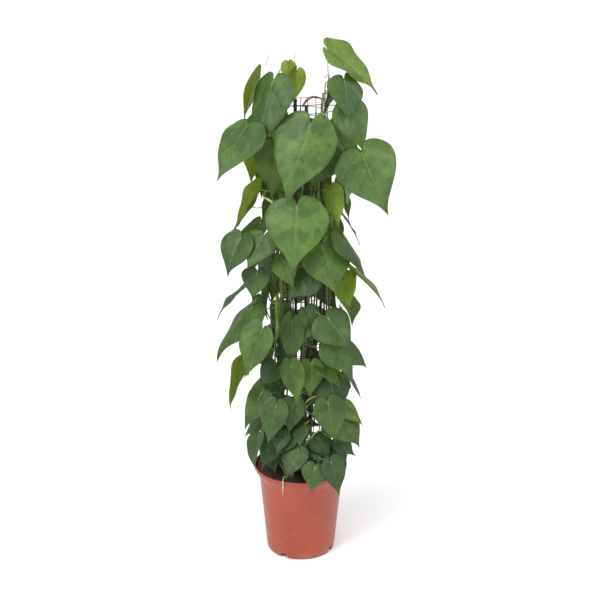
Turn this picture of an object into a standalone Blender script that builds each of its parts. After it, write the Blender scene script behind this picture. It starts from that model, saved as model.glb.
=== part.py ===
"""Potted philodendron: a heartleaf philodendron trained up a net column in a plastic nursery pot.

Metres, Z up. The centre of the pot's flat underside is the origin, the front of the plant is -Y.
Leaf places are in centimetres, as they would be noted at the bench, and angles are in degrees.
"""
import math

import bmesh
import bpy
from mathutils import Vector
from mathutils.bvhtree import BVHTree

# ---- driving dimensions -------------------------------------------------------------------------
POT_HEIGHT = 0.2365
RIM_RADIUS = 0.120
BASE_RADIUS = 0.088
NECK_RADIUS = 0.1075
NECK_HEIGHT = 0.205
BAND_HEIGHT = 0.012
WALL = 0.0025
FLOOR = 0.003
SLOT_COUNT = 4
SLOT_FIRST = -119.5
SLOT_WIDTH = 0.020
SLOT_HEIGHT = 0.012
HOLE_RADIUS = 0.005
HOLE_CIRCLE = 0.045

SOIL_EDGE = POT_HEIGHT - 0.0105
SOIL_TOP = POT_HEIGHT - 0.001
SOIL_GAP = 0.0005

NET_RADIUS = 0.060
NET_BOTTOM = SOIL_TOP + 0.0025
NET_TOP = 1.175
NET_WIRE = 0.0024
NET_COLUMNS = 8
NET_ROWS = 12

STAKE_RADIUS = 0.0035
STAKE_CIRCLE = 0.047
STAKE_DEPTH = 0.15

STEM_CIRCLE = 0.0725
STEM_SWAY = 0.0025
STEM_RADIUS = 0.0042
STEM_ROOT = 0.020
STEM_POINTS = 13

PETIOLE_RADIUS = 0.0015
STALK_LOOKS = 61
# how a stalk may leave its stem: how far upward and how far to one side, against straight out
STALK_STARTS = ((0.9, 0.0), (0.3, 0.0), (1.8, 0.0), (0.9, 0.9), (0.9, -0.9), (0.2, 1.6), (0.2, -1.6))
LEAF_THICKNESS = 0.0012
CLEAR = 0.0007
STEP_OUT = 0.003
MAX_STEPS = 24

# stake: name, direction round the column, height of its top
STAKES = (
    ("stake_front", -105.0, 1.19),
    ("stake_back", 75.0, 1.16),
)

# vine: name, direction at 0.7 m height, turn in degrees per metre of height, height of its tip
VINES = (
    ("vine_1", -76.0, 70.0, 1.205),
    ("vine_2", -130.0, -12.0, 1.215),
    ("vine_3", 176.0, -35.0, 1.12),
    ("vine_4", 84.0, 40.0, 1.19),
    ("vine_5", 12.0, -25.0, 1.13),
)

# leaf: name, place of the blade's base (side, depth, height in cm), length and width in cm,
# direction the upper face looks, how far it looks up, how far the tip swings sideways in the
# plane of the blade, and how much the two halves fold up (+) or arch down (-)
LEAVES = (
    ("leaf_top_1", 6.8, -3.5, 130.0, 15.5, 10.5, -40, 45, 34, 0.25),
    ("leaf_top_2", -10.0, 1.0, 123.5, 12.5, 9.5, 160, 15, 36, 0.15),
    ("leaf_top_3", -6.5, -7.0, 123.5, 16.0, 13.0, -135, 25, 1, -0.30),
    ("leaf_top_4", 10.0, -7.0, 124.0, 10.5, 9.0, -60, 35, -8, -0.15),
    ("leaf_top_5", 10.5, -8.5, 118.5, 12.0, 9.5, -60, 20, 17, 0.10),
    ("leaf_top_6", -11.0, -7.5, 113.0, 14.5, 13.0, -130, 45, -4, -0.15),
    ("leaf_top_7", 2.0, -12.0, 114.5, 19.0, 14.5, -95, 20, -17, -0.15),
    ("leaf_upper_1", -8.0, 2.5, 109.0, 12.5, 9.5, 120, -20, 28, 0.10),
    ("leaf_upper_2", 13.0, -8.0, 107.0, 15.5, 14.5, -105, 25, 28, 0.30),
    ("leaf_upper_3", -10.0, -5.0, 98.0, 11.5, 9.0, 150, 20, 46, 0.20),
    ("leaf_upper_4", -11.5, -0.5, 92.5, 13.5, 10.0, 165, 35, 43, 0.15),
    ("leaf_upper_5", -1.0, -14.0, 96.0, 15.5, 15.0, -90, 25, -3, -0.10),
    ("leaf_upper_6", 6.8, -8.0, 98.5, 9.5, 8.0, 40, 0, -30, 0.10),
    ("leaf_upper_7", -12.8, -8.5, 87.0, 10.0, 9.5, -125, 30, -9, 0.10),
    ("leaf_upper_8", -8.8, -11.0, 88.0, 9.0, 9.0, -110, 40, -14, -0.10),
    ("leaf_upper_9", 5.0, -12.0, 86.0, 12.5, 12.5, -80, 30, 12, -0.20),
    ("leaf_upper_10", 9.6, -8.0, 87.5, 13.0, 9.0, -15, 45, -26, -0.35),
    ("leaf_middle_1", -10.5, -9.0, 78.5, 7.0, 7.0, -110, 15, -6, 0.10),
    ("leaf_middle_2", -12.5, -2.5, 73.5, 12.5, 7.5, 170, 55, 42, 0.20),
    ("leaf_middle_3", -11.5, -8.0, 69.5, 16.0, 11.0, -150, 50, 0, -0.30),
    ("leaf_middle_4", -9.3, -15.5, 66.0, 12.5, 8.5, -110, 20, -14, 0.15),
    ("leaf_middle_5", -6.0, -11.5, 71.5, 13.5, 7.0, -5, 5, -18, 0.15),
    ("leaf_middle_6", -2.0, -10.0, 66.5, 12.0, 6.2, -90, 10, -2, 0.10),
    ("leaf_middle_7", 10.0, -6.0, 76.0, 8.5, 8.5, 40, -15, -42, 0.10),
    ("leaf_middle_8", 10.5, -5.0, 77.5, 13.5, 7.5, 15, 50, -47, 0.20),
    ("leaf_middle_9", 6.3, -12.0, 68.0, 10.0, 10.5, -75, 35, 32, -0.10),
    ("leaf_middle_10", 7.5, -12.0, 61.5, 10.0, 8.5, -80, 35, 29, -0.10),
    ("leaf_middle_11", 10.0, -8.0, 58.5, 8.5, 7.0, -50, 45, 40, 0.15),
    ("leaf_middle_12", -14.5, -3.0, 52.5, 13.0, 8.5, 155, 5, 46, 0.10),
    ("leaf_middle_13", -2.5, -12.0, 56.0, 10.5, 6.0, -95, 15, 12, 0.10),
    ("leaf_low_1", -9.5, -8.0, 47.0, 10.5, 8.5, -130, 35, -12, -0.20),
    ("leaf_low_2", -6.0, -12.0, 45.5, 10.5, 7.0, -100, 20, -9, 0.10),
    ("leaf_low_3", -10.5, -9.0, 36.0, 9.5, 7.0, -160, 35, 38, 0.20),
    ("leaf_low_4", 6.6, -12.0, 46.0, 10.5, 8.0, -90, 20, 10, 0.10),
    ("leaf_low_5", 10.0, -11.0, 41.0, 8.5, 8.5, -70, 30, 29, -0.10),
    ("leaf_low_6", -0.5, -11.0, 33.0, 8.5, 6.2, -105, 35, -17, -0.10),
    ("leaf_low_7", 3.5, -14.0, 29.5, 6.5, 6.5, -85, 25, -9, -0.10),
    ("leaf_low_8", 7.5, -13.0, 30.5, 9.5, 6.5, -65, 20, 8, 0.10),
    ("leaf_back_1", 4.0, 9.0, 110.5, 14.0, 11.5, 70, 25, 5, -0.10),
    ("leaf_back_2", -8.0, 8.0, 113.0, 15.5, 12.5, 120, 30, -10, 0.10),
    ("leaf_back_3", 10.0, 7.0, 104.0, 14.0, 11.0, 45, 30, 15, 0.15),
    ("leaf_back_4", -3.0, 10.0, 99.0, 16.5, 13.5, 95, 20, 5, -0.15),
    ("leaf_back_5", -10.0, 7.0, 87.0, 13.5, 11.0, 140, 35, -10, 0.10),
    ("leaf_back_6", 5.0, 11.0, 88.0, 15.5, 12.5, 70, 25, 10, -0.10),
    ("leaf_back_7", -4.0, 11.0, 75.0, 14.5, 12.0, 105, 25, -10, 0.10),
    ("leaf_back_8", 10.0, 7.0, 69.0, 13.5, 10.5, 35, 35, 10, 0.15),
    ("leaf_back_9", 3.0, 11.0, 61.0, 13.5, 11.0, 85, 20, 5, -0.15),
    ("leaf_back_10", -9.0, 8.0, 56.0, 13.0, 10.5, 130, 30, -15, 0.10),
    ("leaf_back_11", 3.0, 10.0, 43.0, 12.0, 10.0, 75, 30, 10, -0.10),
    ("leaf_back_12", -6.0, 10.0, 37.0, 10.5, 8.5, 115, 35, -5, 0.10),
)

# rows along the midrib of a blade: place along it, half width as a share of the widest
BLADE_ROWS = ((0.0, 0.80), (0.22, 1.0), (0.50, 0.80), (0.78, 0.32))
BLADE_COLUMNS = (-1.0, -0.5, 0.0, 0.5, 1.0)
LOBE_BACK = {0.0: 0.0, 0.5: 0.16, 1.0: 0.04}
BLADE_DROOP = 0.12


# ---- scene, collections and materials ------------------------------------------------------------
def clear_scene():
    for item in list(bpy.data.objects):
        bpy.data.objects.remove(item, do_unlink=True)


def new_collection(name):
    group = bpy.data.collections.new(name)
    bpy.context.scene.collection.children.link(group)
    return group


def plain_material(name, colour, roughness):
    material = bpy.data.materials.new(name)
    material.use_nodes = True
    shader = material.node_tree.nodes["Principled BSDF"]
    shader.inputs["Base Color"].default_value = (*colour, 1.0)
    shader.inputs["Roughness"].default_value = roughness
    return material


def add_object(name, mesh, material):
    item = bpy.data.objects.new(name, mesh)
    PLANT.objects.link(item)
    mesh.materials.clear()
    mesh.materials.append(material)
    return item


def add_cutter(name, mesh):
    item = bpy.data.objects.new(name, mesh)
    CUTTERS.objects.link(item)
    item.hide_render = True
    item.display_type = "WIRE"
    return item


def cut(item, cutter):
    modifier = item.modifiers.new("cut_" + cutter.name, "BOOLEAN")
    modifier.operation = "DIFFERENCE"
    modifier.solver = "EXACT"
    modifier.object = cutter


def shade_smooth(mesh):
    for face in mesh.polygons:
        face.use_smooth = True


def around(direction, radius, height):
    """A point at this radius and height, in this direction in degrees round the plant."""
    angle = math.radians(direction)
    return Vector((radius * math.cos(angle), radius * math.sin(angle), height))


# ---- turned pieces -------------------------------------------------------------------------------
def turned(name, profile, material, steps):
    """A solid of revolution from a profile that ends on the axis at both ends."""
    mesh = bpy.data.meshes.new(name)
    edges = [(i, i + 1) for i in range(len(profile) - 1)]
    mesh.from_pydata([(r, 0.0, z) for r, z in profile], edges, [])
    item = add_object(name, mesh, material)
    screw = item.modifiers.new("turn", "SCREW")
    screw.axis = "Z"
    screw.angle = math.tau
    screw.steps = steps
    screw.render_steps = steps
    screw.use_merge_vertices = True
    screw.merge_threshold = 0.00001
    screw.use_smooth_shade = True
    return item


def inner_radius(height):
    """Radius of the pot's inner wall at a height."""
    if height <= NECK_HEIGHT:
        share = (height - FLOOR) / (NECK_HEIGHT - FLOOR)
        return BASE_RADIUS - WALL + share * (NECK_RADIUS - BASE_RADIUS)
    band = POT_HEIGHT - BAND_HEIGHT
    share = min(1.0, (height - NECK_HEIGHT) / (band - NECK_HEIGHT))
    return NECK_RADIUS - WALL + share * (RIM_RADIUS - NECK_RADIUS)


def box_mesh(name, size, middle, direction):
    """A box of this size round a middle point, turned to face a direction round the pot."""
    shape = bmesh.new()
    bmesh.ops.create_cube(shape, size=1.0)
    bmesh.ops.scale(shape, vec=size, verts=shape.verts)
    bmesh.ops.translate(shape, vec=middle, verts=shape.verts)
    for vertex in shape.verts:
        turn = math.radians(direction)
        x, y = vertex.co.x, vertex.co.y
        vertex.co.x = x * math.cos(turn) - y * math.sin(turn)
        vertex.co.y = x * math.sin(turn) + y * math.cos(turn)
    mesh = bpy.data.meshes.new(name)
    shape.to_mesh(mesh)
    shape.free()
    return mesh


def rod_mesh(name, radius, bottom, top, sides):
    """An upright rod from one point up to another straight above it."""
    shape = bmesh.new()
    bmesh.ops.create_cone(
        shape, cap_ends=True, segments=sides, radius1=radius, radius2=radius, depth=top - bottom.z
    )
    bmesh.ops.translate(shape, vec=(bottom.x, bottom.y, (top + bottom.z) / 2), verts=shape.verts)
    mesh = bpy.data.meshes.new(name)
    shape.to_mesh(mesh)
    shape.free()
    return mesh


def build_pot():
    band = POT_HEIGHT - BAND_HEIGHT
    profile = (
        (0.0, FLOOR),
        (BASE_RADIUS - WALL, FLOOR),
        (NECK_RADIUS - WALL, NECK_HEIGHT),
        (RIM_RADIUS - WALL, band),
        (RIM_RADIUS - WALL, POT_HEIGHT - 0.0005),
        (RIM_RADIUS - WALL / 2, POT_HEIGHT),
        (RIM_RADIUS, POT_HEIGHT - 0.0010),
        (RIM_RADIUS, band),
        (NECK_RADIUS + 0.0015, NECK_HEIGHT + 0.001),
        (NECK_RADIUS, NECK_HEIGHT - 0.002),
        (BASE_RADIUS + 0.0003, 0.003),
        (BASE_RADIUS - 0.0015, 0.0),
        (0.0, 0.0),
    )
    pot = turned("pot", profile, TERRACOTTA, 40)
    for i in range(SLOT_COUNT):
        direction = SLOT_FIRST + i * 360.0 / SLOT_COUNT
        size = (0.024, SLOT_WIDTH, SLOT_HEIGHT + 0.01)
        middle = (BASE_RADIUS, 0.0, (SLOT_HEIGHT - 0.01) / 2)
        slot = add_cutter("slot_%d" % i, box_mesh("slot_%d" % i, size, middle, direction))
        cut(pot, slot)
        place = around(direction + 45.0, HOLE_CIRCLE, -0.005)
        hole = add_cutter("hole_%d" % i, rod_mesh("hole_%d" % i, HOLE_RADIUS, place, 0.01, 12))
        cut(pot, hole)


def build_soil():
    rise = SOIL_TOP - SOIL_EDGE
    shoulder = SOIL_EDGE - 0.003
    outer = inner_radius(shoulder) - SOIL_GAP
    profile = (
        (0.0, SOIL_TOP),
        (0.062, SOIL_TOP - 0.0005),
        (0.085, SOIL_TOP - rise * 0.55),
        (outer - 0.004, SOIL_EDGE),
        (outer, shoulder),
        (inner_radius(NECK_HEIGHT) - SOIL_GAP, NECK_HEIGHT),
        (inner_radius(FLOOR) - SOIL_GAP - 0.0002, FLOOR + SOIL_GAP),
        (0.0, FLOOR + SOIL_GAP),
    )
    soil = turned("soil", profile, EARTH, 32)
    for name, direction, _, _ in VINES:
        foot = stem_point(name, SOIL_TOP - STEM_ROOT - 0.001)
        cutter = rod_mesh("bed_" + name, STEM_RADIUS + 0.0025, foot, SOIL_TOP + 0.02, 10)
        cut(soil, add_cutter("bed_" + name, cutter))
    for name, direction, _ in STAKES:
        foot = around(direction, STAKE_CIRCLE, SOIL_TOP - STAKE_DEPTH - 0.001)
        cutter = rod_mesh("bed_" + name, STAKE_RADIUS + 0.0006, foot, SOIL_TOP + 0.02, 10)
        cut(soil, add_cutter("bed_" + name, cutter))


# ---- column: net and stakes ----------------------------------------------------------------------
def build_net():
    """A tube of square mesh: a plain tube grid with every edge made into a welded bar."""
    places = []
    faces = []
    for row in range(NET_ROWS + 1):
        height = NET_BOTTOM + (NET_TOP - NET_BOTTOM) * row / NET_ROWS
        for column in range(NET_COLUMNS):
            places.append(around(360.0 * (column + 0.5) / NET_COLUMNS, NET_RADIUS, height))
    for row in range(NET_ROWS):
        for column in range(NET_COLUMNS):
            following = (column + 1) % NET_COLUMNS
            low = row * NET_COLUMNS
            high = low + NET_COLUMNS
            faces.append((low + column, low + following, high + following, high + column))
    mesh = bpy.data.meshes.new("net_sleeve")
    mesh.from_pydata(places, [], faces)
    net = add_object("net_sleeve", mesh, BLACK_PLASTIC)
    bars = net.modifiers.new("bars", "WIREFRAME")
    bars.thickness = NET_WIRE
    bars.offset = 0.0
    bars.use_boundary = True
    bars.use_replace = True
    bars.use_even_offset = True


def build_stakes():
    for name, direction, top in STAKES:
        foot = around(direction, STAKE_CIRCLE, SOIL_TOP - STAKE_DEPTH)
        mesh = rod_mesh(name, STAKE_RADIUS, foot, top, 8)
        shade_smooth(mesh)
        add_object(name, mesh, CANE)


# ---- vines ---------------------------------------------------------------------------------------
def stem_point(name, height):
    """The middle of a vine's stem at a height, on its winding way up round the net."""
    order, (_, direction, turn, _) = next(
        (i, vine) for i, vine in enumerate(VINES) if vine[0] == name
    )
    sway = math.sin(9.0 * height + 1.7 * order)
    angle = direction + turn * (height - 0.7) + 2.0 * sway
    return around(angle, STEM_CIRCLE + STEM_SWAY * sway, height)


def stem_radius(name, height):
    """Stems thin from the soil to the tip."""
    tip = next(vine[3] for vine in VINES if vine[0] == name)
    share = max(0.0, (height - SOIL_TOP) / (tip - SOIL_TOP))
    return STEM_RADIUS * (1.0 - 0.4 * min(1.0, share))


def tube_mesh(name, points, radii, sides):
    """A closed round tube through points, by way of a bevelled curve."""
    curve = bpy.data.curves.new(name, "CURVE")
    curve.dimensions = "3D"
    curve.bevel_depth = 1.0
    curve.bevel_resolution = sides
    curve.use_fill_caps = True
    curve.render_resolution_u = 0
    line = curve.splines.new("POLY")
    line.points.add(len(points) - 1)
    for spot, point, radius in zip(line.points, points, radii):
        spot.co = (*point, 1.0)
        spot.radius = radius
    carrier = bpy.data.objects.new(name, curve)
    PLANT.objects.link(carrier)
    bpy.context.view_layer.update()
    graph = bpy.context.evaluated_depsgraph_get()
    mesh = bpy.data.meshes.new_from_object(carrier.evaluated_get(graph))
    bpy.data.objects.remove(carrier, do_unlink=True)
    shape = bmesh.new()
    shape.from_mesh(mesh)
    bmesh.ops.remove_doubles(shape, verts=shape.verts, dist=0.00001)
    bmesh.ops.recalc_face_normals(shape, faces=shape.faces)
    shape.to_mesh(mesh)
    shape.free()
    shade_smooth(mesh)
    return mesh


def stem_points(name):
    tip = next(vine[3] for vine in VINES if vine[0] == name)
    bottom = SOIL_TOP - STEM_ROOT
    heights = [bottom + (tip - bottom) * i / (STEM_POINTS - 1) for i in range(STEM_POINTS)]
    points = [stem_point(name, height) for height in heights]
    return points, [stem_radius(name, height) for height in heights]


# ---- leaves --------------------------------------------------------------------------------------
def leaf_axes(facing, tilt, swing):
    """Unit vectors of a leaf: along the midrib to the tip, across the blade, out of its upper face."""
    turn, lift, lean = (math.radians(value) for value in (facing, tilt, swing))
    out = Vector((math.cos(turn) * math.cos(lift), math.sin(turn) * math.cos(lift), math.sin(lift)))
    down = Vector((math.cos(turn) * math.sin(lift), math.sin(turn) * math.sin(lift), -math.cos(lift)))
    side = out.cross(down)
    along = down * math.cos(lean) + side * math.sin(lean)
    return along, out.cross(along), out


def blade_points(length, width, fold):
    """The middle sheet of a heart-shaped blade, base at the origin, tip along +X, upper face +Z."""
    points = []
    faces = []
    for place, half in BLADE_ROWS:
        for column in BLADE_COLUMNS:
            back = LOBE_BACK[abs(column)] * (1.0 - place) ** 2
            along = length * (place - back)
            across = width / 2 * half * column
            rise = fold * abs(across) - BLADE_DROOP * length * max(0.0, along / length) ** 2
            points.append(Vector((along, across, rise)))
    count = len(BLADE_COLUMNS)
    for row in range(len(BLADE_ROWS) - 1):
        for column in range(count - 1):
            corner = row * count + column
            faces.append((corner, corner + count, corner + count + 1, corner + 1))
    points.append(Vector((length, 0.0, -BLADE_DROOP * length * 1.15)))
    last = (len(BLADE_ROWS) - 1) * count
    for column in range(count - 1):
        faces.append((last + column, len(points) - 1, last + column + 1))
    return points, faces


def place_points(points, base, axes):
    along, across, out = axes
    return [base + along * p.x + across * p.y + out * p.z for p in points]


def thick_tree(points, faces, out, half):
    """A search tree of a blade's upper and lower faces, each moved out by half a thickness."""
    upper = [p + out * half for p in points]
    lower = [p - out * half for p in points]
    count = len(points)
    both = list(faces) + [tuple(i + count for i in face) for face in faces]
    return BVHTree.FromPolygons(upper + lower, both)


def settle_leaf(base, axes, points, faces, others):
    """Moves a blade out from the column in small steps until it touches nothing placed before."""
    out = axes[2]
    away = Vector((base.x, base.y, 0.0)).normalized()
    direction = (away + out * 0.5).normalized()
    half = LEAF_THICKNESS / 2 + CLEAR
    for step in range(MAX_STEPS):
        spot = base + direction * STEP_OUT * step
        tree = thick_tree(place_points(points, spot, axes), faces, out, half)
        if not any(tree.overlap(other) for other in others):
            return spot, tree
    return base, thick_tree(place_points(points, base, axes), faces, out, half)


def build_leaf(row, others):
    name, side, depth, height, length, width, facing, tilt, swing, fold = row
    base = Vector((side, depth, height)) / 100.0
    axes = leaf_axes(facing, tilt, swing)
    points, faces = blade_points(length / 100.0, width / 100.0, fold)
    spot, tree = settle_leaf(base, axes, points, faces, others)
    mesh = bpy.data.meshes.new(name)
    mesh.from_pydata(place_points(points, spot, axes), [], faces)
    shade_smooth(mesh)
    leaf = add_object(name, mesh, LEAF_GREEN)
    solid = leaf.modifiers.new("thickness", "SOLIDIFY")
    solid.thickness = LEAF_THICKNESS
    solid.offset = 0.0
    return spot, axes, tree


def bezier(a, b, c, d, share):
    rest = 1.0 - share
    return a * rest**3 + b * 3 * rest**2 * share + c * 3 * rest * share**2 + d * share**3


def petiole_ways(base, axes):
    """Ways a leaf stalk may take from a stem to its blade, the most natural first."""
    along, _, out = axes
    end = base + along * 0.002 - out * (LEAF_THICKNESS / 2 + 0.001)
    ways = []
    for name, _, _, tip in VINES:
        for drop in (0.03, 0.05, 0.07, 0.09, 0.11, 0.13, 0.01, 0.16, -0.01, 0.20):
            height = min(max(base.z - drop, SOIL_TOP + 0.012), tip - 0.004)
            start = stem_point(name, height)
            reach = (end - start).length
            if reach > 0.22 or reach < 0.015:
                continue
            away = Vector((start.x, start.y, 0.0)).normalized()
            aside = away.cross(Vector((0, 0, 1)))
            for lift, lean in STALK_STARTS:
                first = start + (away + Vector((0, 0, lift)) + aside * lean).normalized() * reach * 0.4
                for bow in (0.35, 0.55, 0.2):
                    second = end - out * reach * bow
                    cost = reach + 0.01 * lift + 0.02 * abs(lean)
                    ways.append((cost, name, height, start, first, second, end))
    return sorted(ways, key=lambda way: way[0])


def way_points(way, count):
    return [bezier(*way[3:], i / (count - 1)) for i in range(count)]


def way_is_clear(way, tree, taken):
    """True if a stalk on this way keeps off every blade, the net, the stakes and other stalks."""
    points = way_points(way, STALK_LOOKS)
    near = PETIOLE_RADIUS + CLEAR
    for point in points:
        if (point - points[-1]).length > 0.006:
            if tree.find_nearest(point, near)[0] is not None:
                return False
        radius = math.hypot(point.x, point.y)
        if radius < NET_RADIUS + 0.0045 and point.z < NET_TOP + 0.003:
            return False
        for name, _, _, tip in VINES:
            if name != way[1] and point.z < tip + 0.004:
                if (point - stem_point(name, point.z)).length < STEM_RADIUS + near + 0.001:
                    return False
        for owner, spots in taken:
            if owner != way[1] and any((point - spot).length < 2 * near + 0.002 for spot in spots):
                return False
    return True


def build_vines(leaves, tree):
    """Each vine is one body: a stem and the stalks that grow from it."""
    taken = []
    stalks = {name: [] for name, _, _, _ in VINES}
    for base, axes in leaves:
        ways = petiole_ways(base, axes)
        clear = next((way for way in ways if way_is_clear(way, tree, taken)), None)
        if clear is None:
            continue
        taken.append((clear[1], way_points(clear, STALK_LOOKS)))
        stalks[clear[1]].append(clear)
    for name in stalks:
        points, radii = stem_points(name)
        vine = add_object(name, tube_mesh(name, points, radii, 1), VINE_GREEN)
        for i, way in enumerate(stalks[name]):
            spots = way_points(way, 6)
            spread = [PETIOLE_RADIUS * 1.2] + [PETIOLE_RADIUS] * 5
            mesh = tube_mesh("stalk", spots, spread, 0)
            stalk = add_cutter("%s_stalk_%d" % (name, i), mesh)
            joint = vine.modifiers.new("stalk_%d" % i, "BOOLEAN")
            joint.operation = "UNION"
            joint.solver = "EXACT"
            joint.object = stalk


def tree_of(names):
    """One search tree of finished objects, as they stand after their modifiers."""
    graph = bpy.context.evaluated_depsgraph_get()
    trees = []
    for name in names:
        trees.append(BVHTree.FromObject(bpy.data.objects[name], graph))
    return trees


def leaves_tree(names):
    graph = bpy.context.evaluated_depsgraph_get()
    places = []
    faces = []
    for name in names:
        mesh = bpy.data.objects[name].evaluated_get(graph).data
        first = len(places)
        places.extend(vertex.co.copy() for vertex in mesh.vertices)
        faces.extend(tuple(first + i for i in face.vertices) for face in mesh.polygons)
    return BVHTree.FromPolygons(places, faces)


def stem_trees():
    """Search trees of the bare stems, a little stout, for the blades to keep off."""
    trees = []
    for name, _, _, _ in VINES:
        points, radii = stem_points(name)
        mesh = tube_mesh("test_" + name, points, [radius + 0.002 for radius in radii], 1)
        trees.append(
            BVHTree.FromPolygons(
                [vertex.co.copy() for vertex in mesh.vertices],
                [tuple(face.vertices) for face in mesh.polygons],
            )
        )
        bpy.data.meshes.remove(mesh)
    return trees


def build_leaves():
    bpy.context.view_layer.update()
    others = tree_of(["pot", "soil", "net_sleeve"]) + stem_trees()
    placed = []
    for row in LEAVES:
        spot, axes, tree = build_leaf(row, others)
        others.append(tree)
        placed.append((spot, axes))
    return placed


clear_scene()
PLANT = new_collection("potted_philodendron")
CUTTERS = new_collection("cutters")
TERRACOTTA = plain_material("terracotta_plastic", (0.50, 0.11, 0.06), 0.45)
EARTH = plain_material("potting_soil", (0.012, 0.008, 0.006), 0.95)
BLACK_PLASTIC = plain_material("net_plastic", (0.008, 0.008, 0.008), 0.6)
CANE = plain_material("stake_cane", (0.02, 0.016, 0.012), 0.7)
VINE_GREEN = plain_material("vine_stem", (0.08, 0.09, 0.025), 0.5)
LEAF_GREEN = plain_material("leaf_blade", (0.05, 0.13, 0.03), 0.35)

build_pot()
build_soil()
build_net()
build_stakes()
PLACED = build_leaves()
bpy.context.view_layer.update()
SOLIDS = leaves_tree([row[0] for row in LEAVES] + ["pot", "soil", "net_sleeve"])
build_vines(PLACED, SOLIDS)
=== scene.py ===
"""Looks of the potted philodendron: every visible surface, built on the frame of the CAD part.

Metres, Z up, the front of the plant is -Y. Bench measures in the leaf tables are in centimetres and
degrees, as in the part: side, depth and height from the centre of the pot's underside.
"""

import math
import random

import bmesh
import bpy
import numpy as np
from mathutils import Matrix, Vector, noise
from mathutils.bvhtree import BVHTree


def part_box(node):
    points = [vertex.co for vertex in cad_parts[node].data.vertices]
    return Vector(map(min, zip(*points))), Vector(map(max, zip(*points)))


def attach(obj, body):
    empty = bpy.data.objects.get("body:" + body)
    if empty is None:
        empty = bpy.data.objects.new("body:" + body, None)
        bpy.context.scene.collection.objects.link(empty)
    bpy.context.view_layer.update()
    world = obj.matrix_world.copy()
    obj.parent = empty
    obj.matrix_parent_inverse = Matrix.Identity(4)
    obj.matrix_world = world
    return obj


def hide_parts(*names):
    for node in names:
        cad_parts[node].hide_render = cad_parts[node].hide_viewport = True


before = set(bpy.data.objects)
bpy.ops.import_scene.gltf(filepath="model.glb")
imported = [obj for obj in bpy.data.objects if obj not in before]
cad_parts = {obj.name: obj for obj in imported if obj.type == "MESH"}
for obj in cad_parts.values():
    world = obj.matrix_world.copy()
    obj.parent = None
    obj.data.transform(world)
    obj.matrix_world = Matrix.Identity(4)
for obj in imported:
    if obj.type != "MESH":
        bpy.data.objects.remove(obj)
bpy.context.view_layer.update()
POT_LOW, POT_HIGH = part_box("pot")
SOIL_LOW, SOIL_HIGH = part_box("soil")
NET_LOW, NET_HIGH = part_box("net_sleeve")
RIM_RADIUS = (POT_HIGH.x - POT_LOW.x) / 2
POT_HEIGHT = POT_HIGH.z
NET_RADIUS = 1.04 * (NET_HIGH.x - NET_LOW.x) / 2
SOIL_TOP = SOIL_HIGH.z
VINE_NAMES = sorted(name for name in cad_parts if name.startswith("vine_"))
VINE_POINTS = {name: np.array([v.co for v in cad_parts[name].data.vertices]) for name in VINE_NAMES}
LEAF_NAMES = sorted(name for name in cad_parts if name.startswith("leaf_"))


# ---- material helpers ----------------------------------------------------------------------------
class Tree:
    """Short names for adding and joining the nodes of one material."""

    def __init__(self, name):
        self.material = bpy.data.materials.new(name)
        self.material.use_nodes = True
        self.nodes = self.material.node_tree.nodes
        self.links = self.material.node_tree.links
        self.shader = self.nodes["Principled BSDF"]
        self.output = self.nodes["Material Output"]

    def add(self, kind, **settings):
        node = self.nodes.new(kind)
        for name, value in settings.items():
            setattr(node, name, value)
        return node

    def join(self, source, target):
        self.links.new(source, target)

    def put(self, socket, value):
        """A socket takes either a number, a colour or another node's output."""
        if isinstance(value, bpy.types.NodeSocket):
            self.join(value, socket)
        elif isinstance(value, tuple) and len(value) == 3 and socket.type == "RGBA":
            socket.default_value = (*value, 1.0)
        else:
            socket.default_value = value

    def math(self, operation, first, second=0.0, third=0.0):
        node = self.add("ShaderNodeMath", operation=operation)
        for socket, value in zip(node.inputs, (first, second, third)):
            self.put(socket, value)
        return node.outputs[0]

    def times(self, first, second):
        return self.math("MULTIPLY", first, second)

    def plus(self, first, second):
        return self.math("ADD", first, second)

    def mix(self, share, first, second):
        node = self.add("ShaderNodeMix", data_type="RGBA")
        self.put(node.inputs[0], share)
        self.put(node.inputs[6], first)
        self.put(node.inputs[7], second)
        return node.outputs[2]

    def tint(self, colour, mask, amount, other):
        """Lays another colour over one, where the mask says."""
        return self.mix(self.times(mask, amount), colour, other)

    def ramp(self, value, low, high, start=0.0, end=1.0):
        node = self.add("ShaderNodeMapRange", interpolation_type="SMOOTHSTEP", clamp=True)
        for socket, number in zip(node.inputs, (value, low, high, start, end)):
            self.put(socket, number)
        return node.outputs[0]

    def noise(self, scale, detail=3.0, roughness=0.55, stretch=None):
        node = self.add("ShaderNodeTexNoise")
        node.inputs["Scale"].default_value = scale
        node.inputs["Detail"].default_value = detail
        node.inputs["Roughness"].default_value = roughness
        place = self.place()
        if stretch is not None:
            mapping = self.add("ShaderNodeMapping")
            mapping.inputs["Scale"].default_value = stretch
            self.join(place, mapping.inputs["Vector"])
            place = mapping.outputs[0]
        self.join(place, node.inputs["Vector"])
        return node.outputs["Fac"]

    def place(self):
        return self.add("ShaderNodeTexCoord").outputs["Object"]

    def spot(self):
        """How far a point is from the column's axis, and how high."""
        split = self.add("ShaderNodeSeparateXYZ")
        self.join(self.place(), split.inputs[0])
        x, y, height = split.outputs
        return self.math("SQRT", self.plus(self.times(x, x), self.times(y, y))), height

    def bump(self, height, strength, distance):
        node = self.add("ShaderNodeBump")
        node.inputs["Strength"].default_value = strength
        node.inputs["Distance"].default_value = distance
        self.join(height, node.inputs["Height"])
        self.join(node.outputs[0], self.shader.inputs["Normal"])
        return node.outputs[0]

    def set(self, name, value):
        self.put(self.shader.inputs[name], value)


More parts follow.
